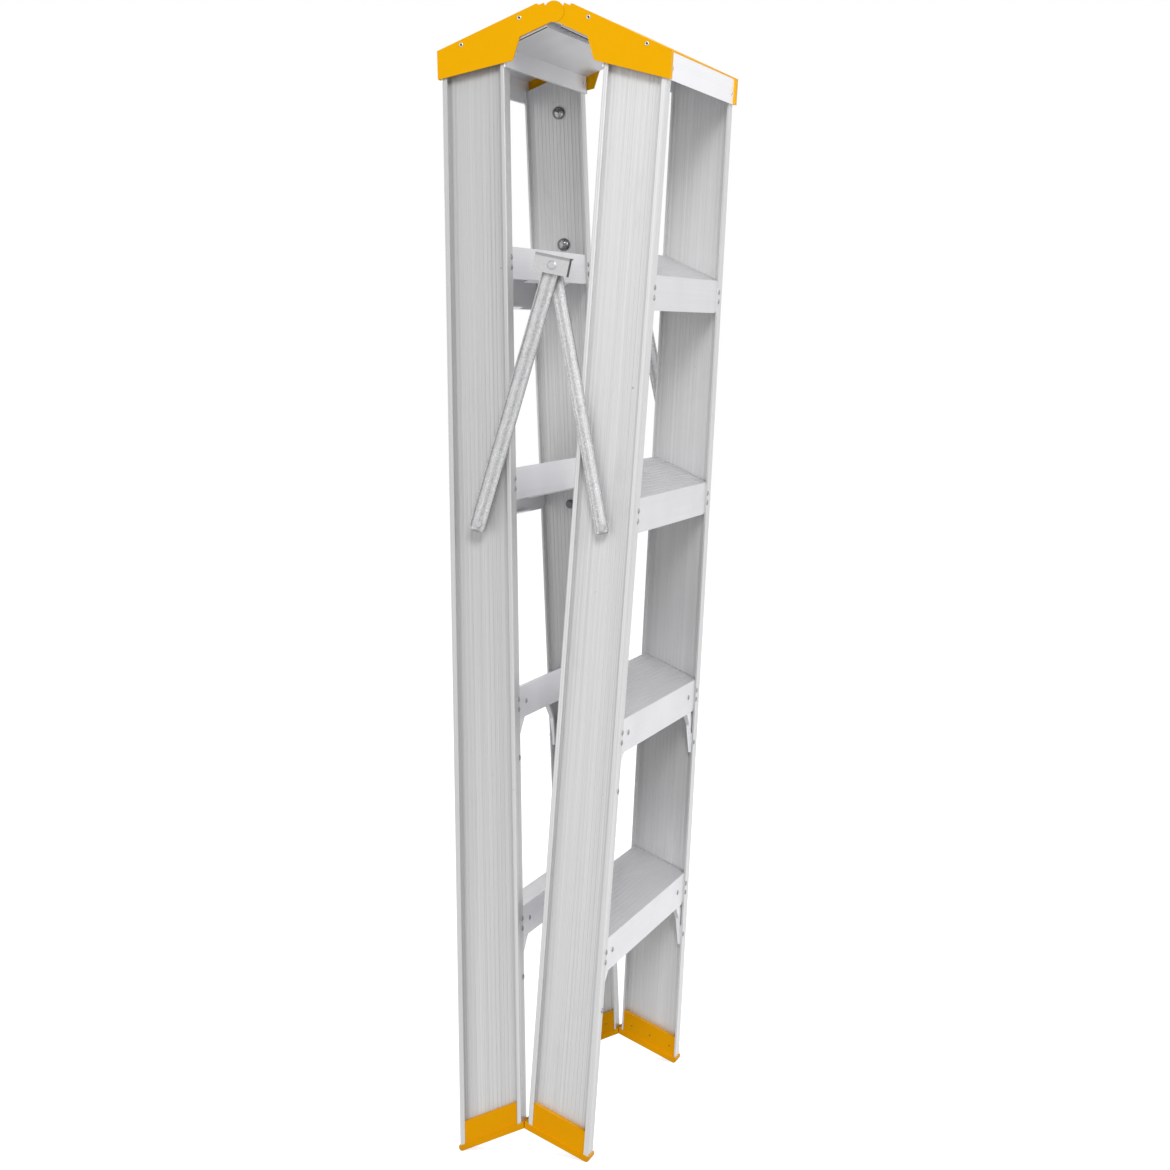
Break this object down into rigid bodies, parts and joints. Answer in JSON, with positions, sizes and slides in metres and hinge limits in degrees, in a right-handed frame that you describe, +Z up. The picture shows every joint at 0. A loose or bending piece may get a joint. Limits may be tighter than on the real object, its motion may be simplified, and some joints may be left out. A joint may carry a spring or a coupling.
{
  "type": "step ladder",
  "caption": "Double-sided folding aluminium step ladder with ribbed treads, fluted stiles, folding spreaders, and yellow moulded top covers and feet.",
  "frame": {"origin": "on the floor, midway between the four feet of the folded ladder, under the ridge hinge", "axes": "+Z up; +Y along the ridge hinge and the treads, away from the viewer of the picture; +X towards the frame on the right of the picture"},
  "size_m": [0.3284, 0.5852, 1.5788],
  "materials": {
    "stile_aluminium": "mill finish with extrusion lines along the stile",
    "bright_aluminium": "bright mill finish",
    "cover_plastic": "moulded yellow plastic with a fine grain",
    "foot_plastic": "moulded amber plastic with a fine grain",
    "galvanised_steel": "hot-dip galvanised with a faint spangle",
    "plated_steel": "zinc plated"
  },
  "bodies": {
    "ridge": {"hinge_tube": "bright_aluminium"},
    "left_frame": {"stile_left_near": "stile_aluminium", "stile_left_far": "stile_aluminium", "step_left_1": "bright_aluminium", "step_left_2": "bright_aluminium", "step_left_3": "bright_aluminium", "step_left_4": "bright_aluminium", "knee_braces_left": "bright_aluminium", "top_channel_left": "bright_aluminium", "top_cover_left": "cover_plastic", "foot_left_near": "foot_plastic", "foot_left_far": "foot_plastic", "spreader_studs_left": "plated_steel"},
    "right_frame": {"stile_right_near": "stile_aluminium", "stile_right_far": "stile_aluminium", "step_right_1": "bright_aluminium", "step_right_2": "bright_aluminium", "step_right_3": "bright_aluminium", "step_right_4": "bright_aluminium", "knee_braces_right": "bright_aluminium", "top_channel_right": "bright_aluminium", "top_cover_right": "cover_plastic", "foot_right_near": "foot_plastic", "foot_right_far": "foot_plastic", "spreader_studs_right": "plated_steel"},
    "left_near_arm": {"spreader_arm_left_near": "galvanised_steel"},
    "left_far_arm": {"spreader_arm_left_far": "galvanised_steel"},
    "right_near_arm": {"spreader_arm_right_near": "galvanised_steel", "knee_stub_near": "plated_steel"},
    "right_far_arm": {"spreader_arm_right_far": "galvanised_steel", "knee_stub_far": "plated_steel"},
    "near_saddle": {"saddle_near": "galvanised_steel", "knee_rivet_near": "plated_steel"},
    "far_saddle": {"saddle_far": "galvanised_steel", "knee_rivet_far": "plated_steel"}
  },
  "joints": [
    {"name": "left_frame_fold", "type": "hinge", "parent": "ridge", "child": "left_frame", "pos_m": [0, 0, 1.56584], "axis": [0, 1, 0], "range_deg": [0, 24.28]},
    {"name": "right_frame_fold", "type": "hinge", "parent": "ridge", "child": "right_frame", "pos_m": [0, 0, 1.56584], "axis": [0, -1, 0], "range_deg": [0, 24.28]},
    {"name": "right_near_arm_pivot", "type": "hinge", "parent": "right_frame", "child": "right_near_arm", "pos_m": [0.08582, -0.25637, 0.8708], "axis": [0.002, -0.999, 0.0453], "range_deg": [0, 53.52]},
    {"name": "right_far_arm_pivot", "type": "hinge", "parent": "right_frame", "child": "right_far_arm", "pos_m": [0.08582, 0.25637, 0.8708], "axis": [-0.002, -0.999, -0.0453], "range_deg": [0, 53.52]},
    {"name": "left_near_arm_pivot", "type": "hinge", "parent": "left_frame", "child": "left_near_arm", "pos_m": [-0.08584, -0.26456, 0.87117], "axis": [0.002, 0.999, -0.0453], "range_deg": [0, 50.62]},
    {"name": "left_far_arm_pivot", "type": "hinge", "parent": "left_frame", "child": "left_far_arm", "pos_m": [-0.08584, 0.26456, 0.87117], "axis": [-0.002, 0.999, 0.0453], "range_deg": [0, 50.62]},
    {"name": "near_saddle_pivot", "type": "hinge", "parent": "left_near_arm", "child": "near_saddle", "pos_m": [0.00948, -0.25233, 1.22461], "axis": [-0.002, -0.999, 0.0453], "range_deg": [0, 85.5]},
    {"name": "far_saddle_pivot", "type": "hinge", "parent": "left_far_arm", "child": "far_saddle", "pos_m": [0.00948, 0.25233, 1.22461], "axis": [0.002, -0.999, -0.0453], "range_deg": [0, 85.5]}
  ],
  "couplings": [
    {"joint": "right_frame_fold", "follows": "left_frame_fold", "ratio": 1},
    {"joint": "right_near_arm_pivot", "follows": "left_frame_fold", "ratio": 2.2046},
    {"joint": "right_far_arm_pivot", "follows": "left_frame_fold", "ratio": 2.2046},
    {"joint": "left_near_arm_pivot", "follows": "left_frame_fold", "ratio": 2.0849},
    {"joint": "left_far_arm_pivot", "follows": "left_frame_fold", "ratio": 2.0849},
    {"joint": "near_saddle_pivot", "follows": "left_frame_fold", "ratio": 3.5215},
    {"joint": "far_saddle_pivot", "follows": "left_frame_fold", "ratio": 3.5215}
  ]
}
